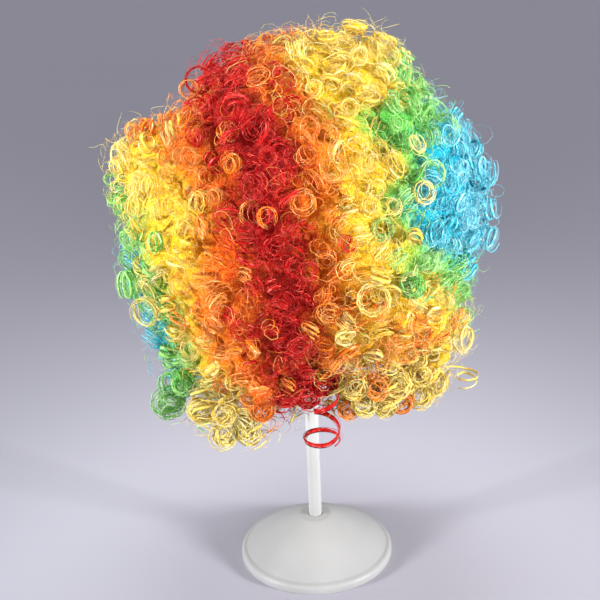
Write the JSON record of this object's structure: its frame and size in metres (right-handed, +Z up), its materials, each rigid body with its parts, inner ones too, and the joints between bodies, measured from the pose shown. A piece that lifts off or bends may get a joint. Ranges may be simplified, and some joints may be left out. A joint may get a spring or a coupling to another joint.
{
  "type": "clown wig on a display stand",
  "caption": "Big round wig of coloured curls in stripes over an open net cap, sitting askew on a white post stand with a round domed foot.",
  "frame": {"origin": "centre of the stand's flat underside, on the surface that it stands on", "axes": "+Z up along the post, the wig's front looks along -Y, the wearer's left is +X"},
  "size_m": [0.338, 0.3349, 0.5257],
  "materials": {
    "white_plastic": "satin white moulded plastic",
    "cap_net": "beige stretch net with sewn rows",
    "blue_hair": "shiny curled synthetic fibre, turquoise blue",
    "green_hair": "shiny curled synthetic fibre, grass green",
    "yellow_hair": "shiny curled synthetic fibre, bright yellow",
    "orange_hair": "shiny curled synthetic fibre, bright orange",
    "red_hair": "shiny curled synthetic fibre, deep red"
  },
  "bodies": {
    "root": {"stand_foot": "white_plastic", "stand_post": "white_plastic", "head_rest": "white_plastic", "wig_cap": "cap_net", "hair_blue_right": "blue_hair", "hair_green_right": "green_hair", "hair_yellow_right": "yellow_hair", "hair_orange_right": "orange_hair", "hair_red": "red_hair", "hair_orange_left": "orange_hair", "hair_yellow_left": "yellow_hair", "hair_green_left": "green_hair", "hair_blue_left": "blue_hair"}
  },
  "joints": []
}
